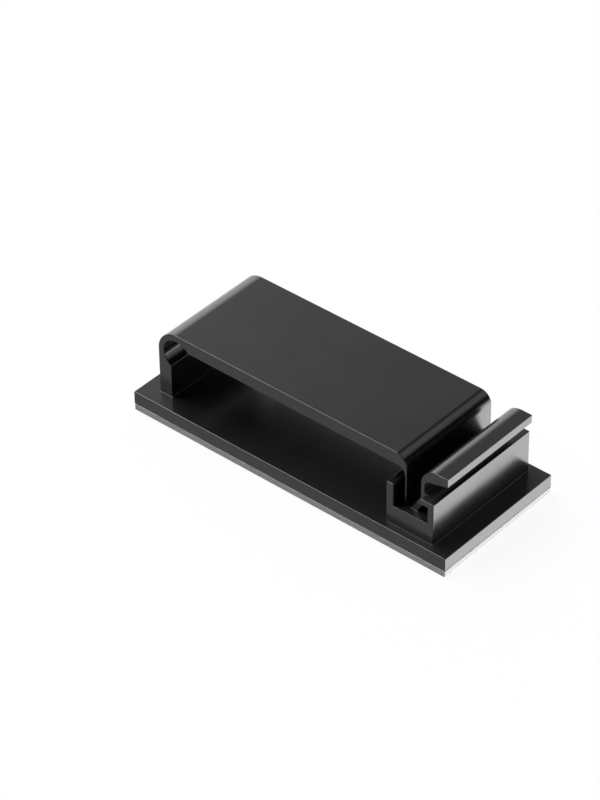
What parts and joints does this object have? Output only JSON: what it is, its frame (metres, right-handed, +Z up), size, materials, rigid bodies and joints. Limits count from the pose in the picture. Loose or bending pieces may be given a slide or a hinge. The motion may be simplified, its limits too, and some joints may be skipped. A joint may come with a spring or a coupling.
{
  "type": "adhesive flat cable clip",
  "caption": "Low rectangular adhesive clip whose hinged flat cover latches over a row of cables, with a finger lever that frees the latch.",
  "frame": {"origin": "middle of the adhesive pad's underside, the face that sticks to the wall or desk", "axes": "+X along the clip from the hinge end to the latch end, +Y along the run of the cables, +Z up out of the mounting surface"},
  "size_m": [0.0608, 0.025, 0.0156],
  "materials": {
    "clip_body": "black moulded nylon, semi-gloss",
    "adhesive_pad": "white closed-cell foam tape, matt"
  },
  "bodies": {
    "root": {"clip_body": "clip_body", "adhesive_pad": "adhesive_pad"}
  },
  "joints": []
}
